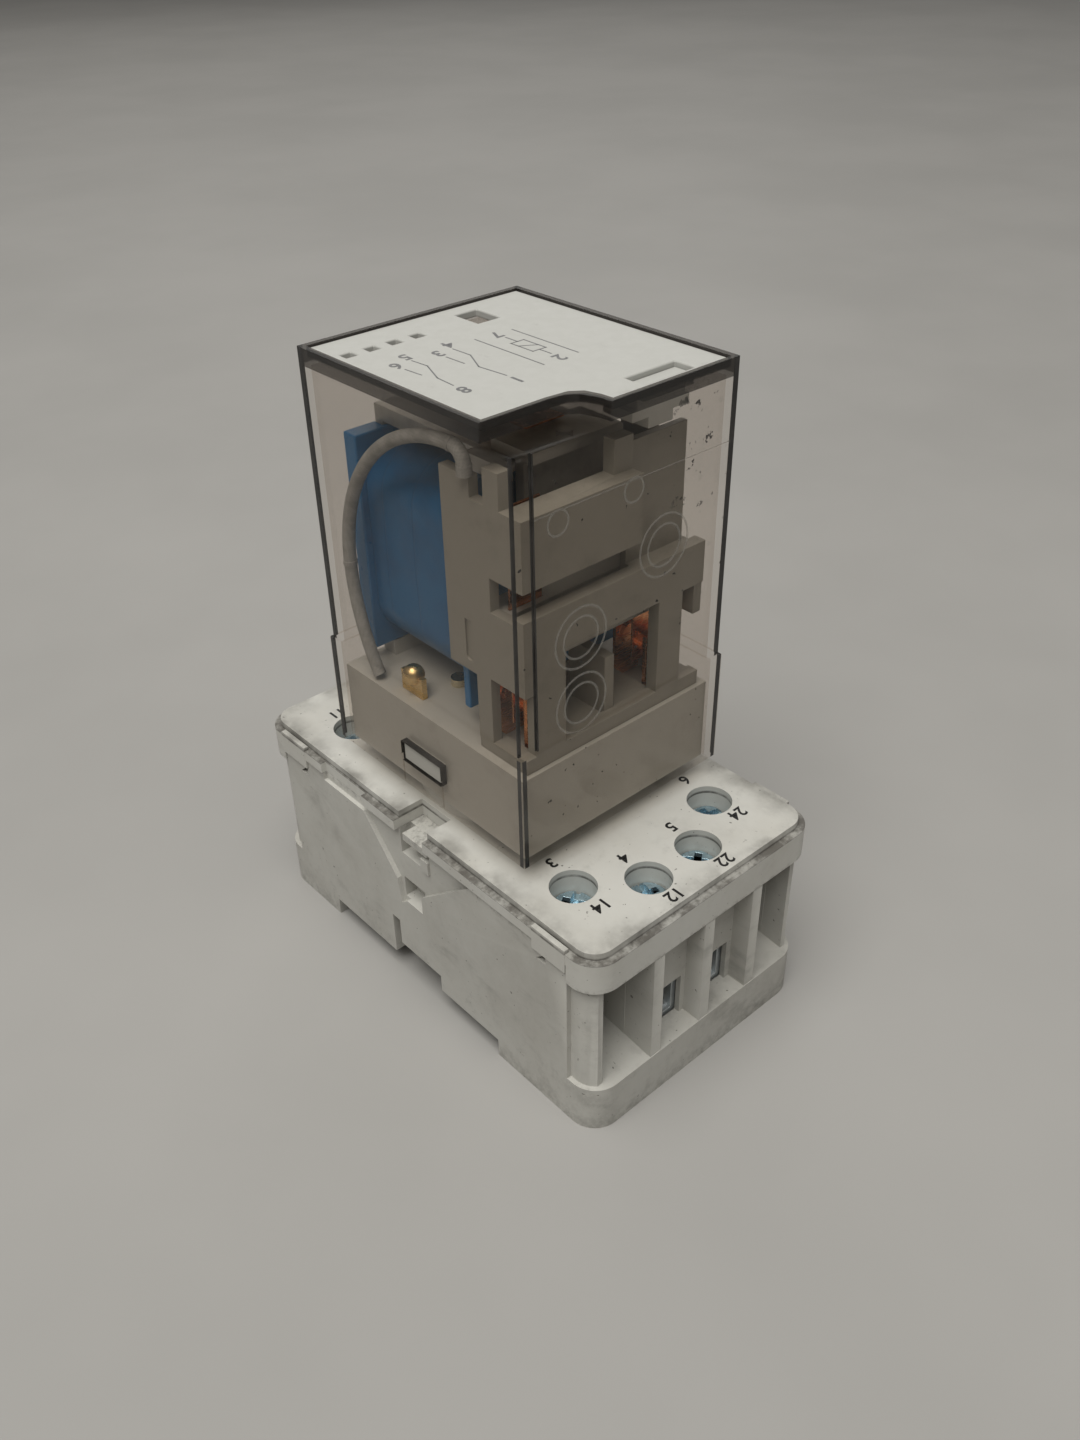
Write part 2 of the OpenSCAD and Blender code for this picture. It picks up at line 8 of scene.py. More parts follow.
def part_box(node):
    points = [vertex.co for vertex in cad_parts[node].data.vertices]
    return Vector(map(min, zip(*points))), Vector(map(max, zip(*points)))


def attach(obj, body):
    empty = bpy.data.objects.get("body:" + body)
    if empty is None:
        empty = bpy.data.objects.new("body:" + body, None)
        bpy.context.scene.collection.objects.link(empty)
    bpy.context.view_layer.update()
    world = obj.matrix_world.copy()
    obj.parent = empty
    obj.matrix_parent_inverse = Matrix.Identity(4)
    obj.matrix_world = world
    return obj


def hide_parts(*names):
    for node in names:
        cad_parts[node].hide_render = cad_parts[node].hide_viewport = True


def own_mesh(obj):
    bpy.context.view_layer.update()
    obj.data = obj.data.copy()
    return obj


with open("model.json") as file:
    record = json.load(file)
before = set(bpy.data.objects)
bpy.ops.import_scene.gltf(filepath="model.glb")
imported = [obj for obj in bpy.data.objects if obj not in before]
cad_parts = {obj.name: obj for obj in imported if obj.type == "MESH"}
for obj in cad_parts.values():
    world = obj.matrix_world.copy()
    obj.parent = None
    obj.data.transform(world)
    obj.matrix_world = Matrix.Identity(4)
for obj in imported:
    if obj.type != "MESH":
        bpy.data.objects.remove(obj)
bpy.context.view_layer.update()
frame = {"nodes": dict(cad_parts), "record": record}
MM = 0.001
NODES = frame["nodes"]
RECORD = frame["record"]
BODY = {n: b for b, ns in RECORD["behaviour"]["bodies"].items() for n in ns}
SCENE = bpy.context.scene

# ---------------------------------------------------------------- camera
right = Vector((0.744517, -0.667401, -0.016433))
down = Vector((-0.391677, -0.416737, -0.820317))
look = Vector((0.540632, 0.617176, -0.571673))
cam_data = bpy.data.cameras.new("camera")
cam = bpy.data.objects.new("camera", cam_data)
SCENE.collection.objects.link(cam)
cam_data.sensor_width = 36
cam_data.lens = 31.615
cam_data.clip_start = 0.005
cam_data.clip_end = 20
rot = Matrix((right, -down, -look)).transposed().to_4x4()
cam.matrix_world = Matrix.Translation(Vector((-0.093440, -0.110256, 0.139008))) @ rot
SCENE.camera = cam
SCENE.view_settings.view_transform = "Standard"


# ---------------------------------------------------------------- node helpers
class Nodes:
    """Small wrapper that builds one material's node tree."""

    def __init__(self, name):
        self.mat = bpy.data.materials.new(name)
        self.mat.use_nodes = True
        self.t = self.mat.node_tree
        self.t.nodes.clear()
        self.out = self.new("ShaderNodeOutputMaterial")
        self.co = self.new("ShaderNodeTexCoord").outputs["Object"]

    def new(self, kind, **sets):
        n = self.t.nodes.new(kind)
        for k, v in sets.items():
            setattr(n, k, v)
        return n

    def link(self, a, b):
        self.t.links.new(a, b)

    def put(self, socket, value):
        if hasattr(value, "links"):
            self.link(value, socket)
        else:
            socket.default_value = value

    def math(self, op, a, b=0.0, clamp=False):
        n = self.new("ShaderNodeMath", operation=op, use_clamp=clamp)
        self.put(n.inputs[0], a)
        self.put(n.inputs[1], b)
        return n.outputs[0]

    def ramp(self, value, lo, hi, out_lo=0.0, out_hi=1.0):
        n = self.new("ShaderNodeMapRange", clamp=True)
        n.interpolation_type = "SMOOTHSTEP"
        self.put(n.inputs[0], value)
        for i, v in enumerate((lo, hi, out_lo, out_hi)):
            self.put(n.inputs[1 + i], v)
        return n.outputs[0]

    def scaled(self, sx, sy, sz):
        n = self.new("ShaderNodeMapping")
        self.link(self.co, n.inputs["Vector"])
        n.inputs["Scale"].default_value = (sx, sy, sz)
        return n.outputs[0]

    def noise(self, scale, detail=4.0, rough=0.55, vec=None):
        n = self.new("ShaderNodeTexNoise")
        self.link(vec if vec is not None else self.co, n.inputs["Vector"])
        n.inputs["Scale"].default_value = scale
        n.inputs["Detail"].default_value = detail
        n.inputs["Roughness"].default_value = rough
        return n.outputs["Fac"]

    def mix(self, fac, a, b):
        n = self.new("ShaderNodeMix", data_type="RGBA")
        self.put(n.inputs[0], fac)
        self.put(n.inputs[6], a)
        self.put(n.inputs[7], b)
        return n.outputs[2]

    def xyz(self):
        n = self.new("ShaderNodeSeparateXYZ")
        self.link(self.co, n.inputs[0])
        return n.outputs[0], n.outputs[1], n.outputs[2]

    def bump(self, height, strength, distance=0.0001, normal=None):
        n = self.new("ShaderNodeBump")
        self.put(n.inputs["Height"], height)
        n.inputs["Strength"].default_value = strength
        n.inputs["Distance"].default_value = distance
        if normal is not None:
            self.link(normal, n.inputs["Normal"])
        return n.outputs[0]

    def principled(self, color, rough, metallic=0.0, normal=None, **more):
        n = self.new("ShaderNodeBsdfPrincipled")
        self.put(n.inputs["Base Color"], color)
        self.put(n.inputs["Roughness"], rough)
        n.inputs["Metallic"].default_value = metallic
        for k, v in more.items():
            n.inputs[k.replace("_", " ")].default_value = v
        if normal is not None:
            self.link(normal, n.inputs["Normal"])
        self.shader = n
        self.link(n.outputs[0], self.out.inputs[0])
        return n


def rgb(r, g, b):
    return (r, g, b, 1.0)


# half sizes, in metres, from which grime along the edges is measured
DECK_HALF = (0.0199, 0.0350)
LABEL_HALF = (0.0158, 0.0178)
# share of mirror gloss on the clear film, and its part that shows head on
GLOSS_AMOUNT = 0.45
HEAD_ON_GLOSS = 0.035
# tape wrap width and the sleeve's weave frequency
TAPE_WRAP = 0.0031
WEAVE = 9000


def plastic(name, base, dark, rough=0.5, grain=1.0, stain=0.35, spec=0.4):
    m = Nodes(name)
    cloud = m.noise(160, 5, 0.6)
    fine = m.noise(1600, 3, 0.6)
    speck = m.noise(3800, 2, 0.5)
    dirt = m.math("MULTIPLY", m.ramp(cloud, 0.5, 0.78), stain)
    col = m.mix(dirt, base, dark)
    pits = m.math("MULTIPLY", m.ramp(speck, 0.66, 0.74), 0.25)
    col = m.mix(pits, col, dark)
    r = m.ramp(fine, 0.3, 0.7, rough - 0.07, rough + 0.08)
    h = m.noise(5200, 2, 0.6)
    m.principled(col, r, 0.0, m.bump(h, 0.12 * grain, 0.00006), Specular_IOR_Level=spec)
    return m.mat


def socket_plastic(name, deck):
    """Pale moulded plastic with grey smears, scratches and dark bands along its edges."""
    m = Nodes(name)
    base = rgb(0.60, 0.593, 0.555) if deck else rgb(0.52, 0.512, 0.475)
    warm = rgb(0.54, 0.527, 0.483) if deck else rgb(0.455, 0.443, 0.405)
    near_black = rgb(0.060, 0.053, 0.044)
    smear = rgb(0.27, 0.262, 0.24)
    x, y, z = m.xyz()
    ragged = m.noise(900, 5, 0.75)
    col = m.mix(m.ramp(m.noise(70, 5, 0.6), 0.35, 0.75), base, warm)
    # broad smears along the walls, and a fine mottling all over
    streak = m.noise(1, 6, 0.65, m.scaled(110, 70, 210))
    patch = m.ramp(m.noise(75, 3, 0.5), 0.46, 0.62)
    worn = m.math("MULTIPLY", m.ramp(streak, 0.50, 0.70), patch)
    col = m.mix(m.math("MULTIPLY", worn, 0.40 if deck else 0.62), col, smear)
    mottle = m.ramp(m.noise(420, 6, 0.7), 0.48, 0.76)
    mottle = m.math("MULTIPLY", mottle, m.ramp(m.noise(160, 3, 0.6), 0.42, 0.65))
    col = m.mix(m.math("MULTIPLY", mottle, 0.34), col, smear)
    # short dark scratches and specks
    across = m.ramp(m.noise(1, 3, 0.7, m.scaled(450, 3200, 900)), 0.69, 0.73)
    along = m.ramp(m.noise(1, 3, 0.7, m.scaled(3000, 380, 900)), 0.69, 0.73)
    cut = m.math("MULTIPLY", m.math("MAXIMUM", across, along), m.ramp(m.noise(140, 2, 0.5), 0.45, 0.6))
    col = m.mix(m.math("MULTIPLY", cut, 0.7), col, near_black)
    col = m.mix(m.math("MULTIPLY", m.ramp(m.noise(1500, 2, 0.5), 0.72, 0.76), 0.8), col, near_black)
    if deck:
        ax = m.math("SUBTRACT", m.math("ABSOLUTE", x), DECK_HALF[0])
        ay = m.math("SUBTRACT", m.math("ABSOLUTE", y), DECK_HALF[1])
        edge = m.math("MAXIMUM", ax, ay)
        # a thin dark line where the deck steps down, with a grey halo beside it
        low_tier = m.ramp(z, 0.03045, 0.03010)
        line = m.math("MULTIPLY", low_tier, m.ramp(z, 0.02985, 0.02998))
        line = m.math("MULTIPLY", line, m.ramp(m.noise(300, 5, 0.7), 0.34, 0.58, 0.45, 1.0))
        halo = m.math("MULTIPLY", m.ramp(edge, -0.0042, -0.0001), m.ramp(z, 0.0296, 0.0304))
        halo = m.math("MULTIPLY", halo, m.ramp(m.noise(150, 5, 0.6), 0.36, 0.74))
        col = m.mix(m.math("MULTIPLY", halo, 0.85), col, smear)
        rub = m.math("MULTIPLY", m.ramp(edge, -0.0020, 0.0001), m.ramp(m.noise(230, 6, 0.62), 0.40, 0.78))
        rub = m.math("MULTIPLY", m.math("MULTIPLY", rub, m.ramp(z, 0.0298, 0.0306)), 0.55)
        col = m.mix(rub, col, near_black)
        col = m.mix(m.math("MULTIPLY", line, 0.85), col, near_black)
        foot = m.math("MULTIPLY", m.ramp(z, 0.0262, 0.0253), m.ramp(ragged, 0.45, 0.62))
        col = m.mix(m.math("MULTIPLY", foot, 0.5), col, smear)
    else:
        # darker in a ragged band at the floor and in another just under the deck
        foot = m.math("MULTIPLY", m.ramp(z, 0.0040, 0.0), m.ramp(ragged, 0.35, 0.75))
        top = m.math("MULTIPLY", m.ramp(z, 0.0268, 0.0283), m.ramp(ragged, 0.44, 0.62))
        col = m.mix(m.math("MULTIPLY", m.math("MAXIMUM", foot, top), 0.4), col, near_black)
        corner = m.math("ADD", m.math("ABSOLUTE", x), m.math("ABSOLUTE", y))
        patch = m.ramp(m.noise(240, 5, 0.7), 0.44, 0.68)
        corner = m.math("MULTIPLY", m.ramp(corner, 0.0515, 0.0545), patch)
        col = m.mix(m.math("MULTIPLY", corner, 0.5), col, smear)
        heel = m.math("MULTIPLY", m.ramp(z, 0.0087, 0.0070), m.ramp(m.noise(260, 5, 0.7), 0.50, 0.66))
        col = m.mix(m.math("MULTIPLY", heel, 0.30), col, smear)
    rough = m.ramp(m.noise(900, 3, 0.6), 0.3, 0.7, 0.38, 0.56)
    grain = m.math("MULTIPLY", m.noise(4200, 2, 0.6), 0.5)
    grain = m.math("ADD", grain, m.math("MULTIPLY", cut, -0.9))
    m.principled(col, rough, 0.0, m.bump(grain, 0.22, 0.00008), Specular_IOR_Level=0.42)
    return m.mat


def metal(name, base, dark, rough=0.28, brush=(300, 300, 3000), tarnish=0.4, bump=0.12, metallic=1.0):
    m = Nodes(name)
    cloud = m.noise(420, 4, 0.6)
    line = m.noise(1, 3, 0.6, m.scaled(*brush))
    col = m.mix(m.math("MULTIPLY", m.ramp(cloud, 0.45, 0.75), tarnish), base, dark)
    r = m.ramp(line, 0.3, 0.7, rough - 0.08, rough + 0.12)
    m.principled(col, r, metallic, m.bump(line, bump, 0.00004))
    return m.mat


def film(name, tint, haze, dirt=0.0, base_haze=0.0):
    """Clear smoky plastic: a tinted see-through film under a glossy skin."""
    m = Nodes(name)
    clear = m.new("ShaderNodeBsdfTransparent")
    clear.inputs[0].default_value = tint
    body = m.new("ShaderNodeBsdfPrincipled")
    body.inputs["Base Color"].default_value = haze
    body.inputs["Roughness"].default_value = 0.4
    gloss = m.new("ShaderNodeBsdfGlossy")
    gloss.inputs["Color"].default_value = rgb(0.9, 0.9, 0.9)
    m.link(m.ramp(m.noise(300, 3, 0.6), 0.35, 0.7, 0.05, 0.12), gloss.inputs["Roughness"])
    m.link(m.bump(m.noise(45, 2, 0.5), 0.04, 0.0004), gloss.inputs["Normal"])
    # rubbed haze and fine scratches
    rub = m.ramp(m.noise(220, 4, 0.7), 0.50, 0.85, 0.0, 0.02)
    scratch = m.ramp(m.noise(1, 3, 0.7, m.scaled(900, 900, 200)), 0.72, 0.77, 0.0, 0.10)
    amount = m.math("ADD", m.math("ADD", rub, scratch), base_haze, True)
    mixed = m.new("ShaderNodeMixShader")
    m.put(mixed.inputs[0], amount)
    m.link(clear.outputs[0], mixed.inputs[1])
    m.link(body.outputs[0], mixed.inputs[2])
    last = mixed
    if dirt > 0:
        # soot flecks, thickest at the top right of the front wall
        x, y, z = m.xyz()
        soot = m.new("ShaderNodeBsdfPrincipled")
        soot.inputs["Base Color"].default_value = rgb(0.012, 0.010, 0.009)
        soot.inputs["Roughness"].default_value = 0.7
        front = m.ramp(y, -0.0186, -0.0192)
        zone = m.math("MULTIPLY", m.ramp(x, 0.0040, 0.0100), m.ramp(z, 0.066, 0.078))
        blot = m.ramp(m.noise(520, 4, 0.65), 0.640, 0.655)
        fleck = m.ramp(m.noise(900, 2, 0.5), 0.735, 0.745)
        spot = m.math("MAXIMUM", m.math("MULTIPLY", blot, zone), fleck)
        spot = m.math("MULTIPLY", m.math("MULTIPLY", spot, front), dirt)
        sooty = m.new("ShaderNodeMixShader")
        m.put(sooty.inputs[0], spot)
        m.link(last.outputs[0], sooty.inputs[1])
        m.link(soot.outputs[0], sooty.inputs[2])
        last = sooty
    facing = m.new("ShaderNodeLayerWeight").outputs["Facing"]
    grazing = m.math("MULTIPLY", m.math("POWER", facing, 4.0), 0.85)
    skin = m.new("ShaderNodeMixShader")
    m.link(m.math("MULTIPLY", m.math("ADD", grazing, HEAD_ON_GLOSS), GLOSS_AMOUNT), skin.inputs[0])
    m.link(last.outputs[0], skin.inputs[1])
    m.link(gloss.outputs[0], skin.inputs[2])
    m.link(skin.outputs[0], m.out.inputs[0])
    return m.mat


def painted_edge_shade(name):
    # painted shade: near black plastic that stands for the darkness refraction gives the cover's edges and
    # window reveals
    m = Nodes(name)
    n = m.noise(260, 3, 0.6)
    col = m.mix(m.ramp(n, 0.4, 0.7), rgb(0.014, 0.013, 0.012), rgb(0.035, 0.032, 0.030))
    m.principled(col, m.ramp(n, 0.3, 0.7, 0.10, 0.22), 0.0, None, Specular_IOR_Level=0.45, Alpha=0.95)
    return m.mat


def label_white():
    m = Nodes("label_white")
    scuff = m.noise(1, 4, 0.7, m.scaled(700, 260, 300))
    area = m.ramp(m.noise(120, 2, 0.5), 0.5, 0.62)
    k = m.math("MULTIPLY", m.ramp(scuff, 0.6, 0.7), area)
    col = m.mix(m.math("MULTIPLY", k, 0.35), rgb(0.49, 0.49, 0.463), rgb(0.34, 0.33, 0.31))
    x, y, z = m.xyz()
    past_x = m.math("SUBTRACT", m.math("ABSOLUTE", x), LABEL_HALF[0])
    past_y = m.math("SUBTRACT", m.math("ABSOLUTE", y), LABEL_HALF[1])
    edge = m.ramp(m.math("MAXIMUM", past_x, past_y), -0.0004, 0.0006)
    edge = m.math("MULTIPLY", edge, m.ramp(m.noise(600, 4, 0.7), 0.45, 0.7))
    col = m.mix(m.math("MULTIPLY", edge, 0.5), col, rgb(0.32, 0.30, 0.28))
    rough = m.ramp(m.noise(500, 3, 0.6), 0.3, 0.7, 0.34, 0.5)
    normal = m.bump(m.noise(2600, 3, 0.6), 0.08, 0.00005)
    m.principled(col, rough, 0.0, normal, Specular_IOR_Level=0.45)
    return m.mat


def tape_blue():
    m = Nodes("tape_blue")
    x, y, z = m.xyz()
    cloud = m.noise(130, 3, 0.6)
    col = m.mix(m.ramp(cloud, 0.35, 0.7), rgb(0.001, 0.118, 0.29), rgb(0.001, 0.088, 0.23))
    wrap = m.math("PINGPONG", m.math("ADD", y, m.math("MULTIPLY", m.noise(60, 2, 0.5), 0.0012)), TAPE_WRAP)
    seam = m.ramp(wrap, 0.0, 0.00012, 1.0, 0.0)
    col = m.mix(m.math("MULTIPLY", seam, 0.35), col, rgb(0.002, 0.03, 0.11))
    wr = m.noise(1, 4, 0.6, m.scaled(500, 160, 160))
    h = m.math("ADD", m.math("MULTIPLY", wr, 0.6), m.math("MULTIPLY", seam, -0.4))
    rough = m.ramp(wr, 0.3, 0.7, 0.30, 0.44)
    m.principled(col, rough, 0.0, m.bump(h, 0.35, 0.00025), Specular_IOR_Level=0.5)
    return m.mat


def sleeve_grey():
    m = Nodes("lead_grey")
    x, y, z = m.xyz()
    one_way = m.math("SINE", m.math("MULTIPLY", m.math("ADD", y, z), WEAVE))
    other_way = m.math("SINE", m.math("MULTIPLY", m.math("SUBTRACT", y, z), WEAVE))
    weave = m.math("MULTIPLY", one_way, other_way)
    col = m.mix(m.ramp(m.noise(500, 3, 0.6), 0.3, 0.7), rgb(0.34, 0.335, 0.315), rgb(0.25, 0.245, 0.23))
    col = m.mix(m.ramp(weave, -0.8, 0.2, 0.22, 0.0), col, rgb(0.12, 0.12, 0.11))
    m.principled(col, 0.6, 0.0, m.bump(weave, 0.18, 0.00006), Specular_IOR_Level=0.3)
    return m.mat


MAT = {
    "socket_plastic": socket_plastic("socket_plastic", False),
    "deck_plastic": socket_plastic("deck_plastic", True),
    "strip_brass": metal("strip_brass", rgb(0.78, 0.56, 0.26), rgb(0.42, 0.27, 0.12), 0.3),
    "clamp_zinc": metal(
        "clamp_zinc", rgb(0.62, 0.66, 0.68), rgb(0.3, 0.32, 0.34),
        0.38, (900, 900, 300), metallic=0.7),
    "screw_zinc": metal(
        "screw_zinc", rgb(0.50, 0.66, 0.74), rgb(0.20, 0.32, 0.40),
        0.24, (500, 500, 500), 0.7, metallic=0.85),
    "spring_steel": metal("spring_steel", rgb(0.55, 0.55, 0.55), rgb(0.3, 0.3, 0.3), 0.3),
    "clear_cover": film("clear_cover", rgb(0.935, 0.915, 0.895), rgb(0.30, 0.285, 0.27), 0.9),
    # painted shade: the rim above the ceiling is a near black film that stands for the darkness the thick
    # top edge shows through refraction
    "cover_rim_painted_shade": film("cover_rim_painted_shade", rgb(0.34, 0.32, 0.30), rgb(0.03, 0.027, 0.025), 0.0, 0.42),
    "cover_edge_painted_shade": painted_edge_shade("cover_edge_painted_shade"),
    "mould_mark": film("mould_mark", rgb(0.88, 0.87, 0.85), rgb(0.55, 0.54, 0.51), 0.0, 0.19),
    "label_white": label_white(),
    "plug_plastic": plastic(
        "plug_plastic", rgb(0.42, 0.405, 0.365), rgb(0.25, 0.232, 0.20),
        0.44, 1.0, 0.35),
    "pin_plated": metal("pin_plated", rgb(0.80, 0.72, 0.52), rgb(0.5, 0.42, 0.28), 0.25),
    "bobbin_blue": plastic(
        "bobbin_blue", rgb(0.003, 0.14, 0.34), rgb(0.002, 0.07, 0.20),
        0.34, 0.8, 0.45, 0.5),
    "tape_blue": tape_blue(),
    "copper_wire": metal(
        "copper_wire", rgb(0.72, 0.30, 0.12), rgb(0.40, 0.14, 0.05),
        0.3, (300, 6000, 300), 0.4, 0.5),
    "iron": metal(
        "iron", rgb(0.50, 0.48, 0.44), rgb(0.28, 0.26, 0.23),
        0.42, (2400, 300, 300), metallic=0.4),
    "block_beige": plastic(
        "block_beige", rgb(0.265, 0.249, 0.212), rgb(0.15, 0.136, 0.112),
        0.36, 1.0, 0.5),
    "copper_contact": metal(
        "copper_contact", rgb(0.86, 0.40, 0.20), rgb(0.42, 0.16, 0.07),
        0.24, (400, 400, 2500), 0.55),
    "lead_grey": sleeve_grey(),
    "flag_dark": plastic("flag_dark", rgb(0.10, 0.095, 0.09), rgb(0.05, 0.045, 0.04), 0.4),
    "ink": plastic("ink", rgb(0.012, 0.012, 0.012), rgb(0.03, 0.03, 0.03), 0.5),
    "ink_grey": plastic("ink_grey", rgb(0.16, 0.16, 0.165), rgb(0.28, 0.28, 0.28), 0.5),
}


# ---------------------------------------------------------------- geometry helpers
def add(name, bm, mats, smooth=35):
    me = bpy.data.meshes.new(name)
    bm.normal_update()
    bm.to_mesh(me)
    bm.free()
    for mt in mats:
        me.materials.append(mt)
    for p in me.polygons:
        p.use_smooth = True
    me.set_sharp_from_angle(angle=math.radians(smooth))
    o = bpy.data.objects.new(name, me)
    SCENE.collection.objects.link(o)
    return o


def from_node(node):
    bm = bmesh.new()
    bm.from_mesh(NODES[node].data)
    bmesh.ops.remove_doubles(bm, verts=bm.verts, dist=2e-6)
    bmesh.ops.dissolve_limit(bm, angle_limit=math.radians(0.6), verts=bm.verts, edges=bm.edges)
    for f in bm.faces:
        f.material_index = 0
    return bm


def bevel(o, width, segments=2, angle=32, material=-1):
    md = o.modifiers.new("edges", "BEVEL")
    md.width = width
    md.segments = segments
    md.limit_method = "ANGLE"
    md.angle_limit = math.radians(angle)
    md.harden_normals = True
    md.use_clamp_overlap = True
    md.material = material
    return md


def stand_for(o, node):
    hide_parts(node)
    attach(o, BODY[node])
    return o


def refined(node, mats, width, **kw):
    o = add(node + "_piece", from_node(node), mats)
    bevel(o, width, **kw)
    return stand_for(o, node)


# ---------------------------------------------------------------- socket
refined("socket_base", [MAT["socket_plastic"]], 0.22 * MM)
refined("socket_deck", [MAT["deck_plastic"]], 0.3 * MM)
refined("rail_latch", [MAT["socket_plastic"]], 0.15 * MM)
latch_spring = refined("latch_spring", [MAT["spring_steel"]], 0.04 * MM)
for i in range(1, 9):
    refined(f"contact_strip_{i}", [MAT["strip_brass"]], 0.1 * MM)
    refined(f"clamp_cage_{i}", [MAT["clamp_zinc"]], 0.15 * MM)
    refined(f"clamp_screw_{i}", [MAT["screw_zinc"]], 0.12 * MM)
    refined(f"plug_pin_{i}", [MAT["pin_plated"]], 0.08 * MM)

# ---------------------------------------------------------------- relay
refined("plug_moulding", [MAT["plug_plastic"]], 0.25 * MM)
refined("bobbin", [MAT["bobbin_blue"]], 0.25 * MM)
refined("winding", [MAT["copper_wire"]], 0.1 * MM)
refined("coil_tape", [MAT["tape_blue"]], 0.05 * MM)
refined("core", [MAT["iron"]], 0.2 * MM)
refined("yoke", [MAT["iron"]], 0.2 * MM)
refined("contact_block", [MAT["block_beige"]], 0.35 * MM, segments=3)
refined("return_spring", [MAT["copper_contact"]], 0.05 * MM)
refined("armature", [MAT["iron"]], 0.2 * MM)
refined("blade_carrier", [MAT["plug_plastic"]], 0.3 * MM)
refined("flag", [MAT["flag_dark"]], 0.1 * MM)
refined("test_button", [MAT["label_white"]], 0.2 * MM)
for i in (1, 2):
    refined(f"normally_closed_{i}", [MAT["copper_contact"]], 0.12 * MM)
    refined(f"normally_open_{i}", [MAT["copper_contact"]], 0.12 * MM)
    refined(f"moving_blade_{i}", [MAT["copper_contact"]], 0.08 * MM)
    refined(f"coil_terminal_{i}", [MAT["strip_brass"]], 0.12 * MM)
    refined(f"lead_wire_{i}", [MAT["lead_grey"]], 0.02 * MM)

# cover: clear faces, a rim above the ceiling darkened as painted shade, and near black bands of painted
# shade where the edges trap light
RIM_Z = 88.4 * MM
SKIRT_TOP = 50.8 * MM
BAND = 0.42 * MM
WIDE_BAND = 0.75 * MM
SKIRT_BAND = 0.80 * MM
SKIRT_GAP = 0.14 * MM
STRIP_X = -14.6 * MM
STRIP_LINE = 0.2 * MM
STRIP_STEP = 0.6 * MM
cover_low, cover_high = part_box("cover")
mid_y = (cover_low[1] + cover_high[1]) / 2
skirt_half = ((cover_high[0] - cover_low[0]) / 2, (cover_high[1] - cover_low[1]) / 2)
wall_half = (skirt_half[0] - 0.35 * MM, skirt_half[1] - 0.40 * MM)
CUTS = ((skirt_half, SKIRT_BAND), (skirt_half, SKIRT_GAP), (wall_half, BAND), (wall_half, WIDE_BAND))
WINDOW_Z = (37.9 * MM, 41.2 * MM)
WINDOW_HALF_Y = 4.7 * MM
WINDOW_X = 16 * MM


def split(bm, co, no):
    geo = bm.verts[:] + bm.edges[:] + bm.faces[:]
    bmesh.ops.bisect_plane(bm, geom=geo, plane_co=co, plane_no=no, dist=1e-7)


def in_painted_edge_shade(c):
    """True where a point of an upright wall lies in a band beside a corner of the cover, painted as shade.
    """
    if c.z < SKIRT_TOP:
        out_x = skirt_half[0] - abs(c.x)
        out_y = skirt_half[1] - abs(c.y - mid_y)
        return SKIRT_GAP < max(out_x, out_y) < SKIRT_BAND
    # painted shade: wider bands at the front right and back left corners, and a thin extra line on the
    # front wall near its left corner
    band = WIDE_BAND if c.x * (c.y - mid_y) < 0 else BAND
    if abs(c.x) > wall_half[0] - band and abs(c.y - mid_y) > wall_half[1] - band - STRIP_STEP:
        return True
    return c.y < mid_y - wall_half[1] + STRIP_STEP and abs(c.x - STRIP_X) < STRIP_LINE


bm = from_node("cover")
split(bm, (0, 0, RIM_Z), (0, 0, 1))
split(bm, (0, 0, SKIRT_TOP), (0, 0, 1))
for side in (-1, 1):
    for half, inset in CUTS:
        split(bm, (side * (half[0] - inset), 0, 0), (1, 0, 0))
        split(bm, (0, mid_y + side * (half[1] - inset), 0), (0, 1, 0))
    split(bm, (STRIP_X + side * STRIP_LINE, 0, 0), (1, 0, 0))
for f in bm.faces:
    c = f.calc_center_median()
    # painted shade: the reveals of the window opening take the near black edge material
    in_window = WINDOW_Z[0] < c.z < WINDOW_Z[1] and abs(c.y) < WINDOW_HALF_Y
    if in_window and abs(f.normal.x) < 0.5 and abs(c.x) > WINDOW_X:
        f.material_index = 2
    elif abs(f.normal.z) < 0.5:
        if in_painted_edge_shade(c):
            f.material_index = 2
        # painted shade: wall faces above RIM_Z take the darkened rim film
        elif c.z > RIM_Z:
            f.material_index = 1
cover = add("cover_piece", bm, [MAT["clear_cover"], MAT["cover_rim_painted_shade"], MAT["cover_edge_painted_shade"]])
# painted shade: the bevelled edges take the near black edge material too
bevel(cover, 0.16 * MM, segments=2, angle=28, material=2)
stand_for(cover, "cover")

refined("label_plate", [MAT["label_white"]], 0.22 * MM, segments=3)


# ---------------------------------------------------------------- prints
def only_verts(result):
    return [v for v in result["geom"] if isinstance(v, bmesh.types.BMVert)]


def print_mesh(name, items, body, mat):
    """items: (text, x mm, y mm, z mm, size mm, turn deg) flat on a horizontal face."""
    bm = bmesh.new()
    for s, x, y, z, size, turn in items:
        cu = bpy.data.curves.new("t", "FONT")
        cu.body = s
        cu.size = size * MM
        cu.align_x = "CENTER"
        cu.align_y = "CENTER"
        cu.extrude = 0.012 * MM
        cu.offset = 0.045 * MM * size / 2.4
        cu.resolution_u = 3
        ob = bpy.data.objects.new("t", cu)
        SCENE.collection.objects.link(ob)
        bpy.context.view_layer.update()
        me = bpy.data.meshes.new_from_object(ob.evaluated_get(bpy.context.evaluated_depsgraph_get()))
        place = Matrix.Translation((x * MM, y * MM, z * MM))
        me.transform(place @ Matrix.Rotation(math.radians(turn), 4, "Z"))
        bm.from_mesh(me)
        bpy.data.objects.remove(ob)
        bpy.data.curves.remove(cu)
        bpy.data.meshes.remove(me)
    o = add(name, bm, [mat])
    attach(o, body)
    return o


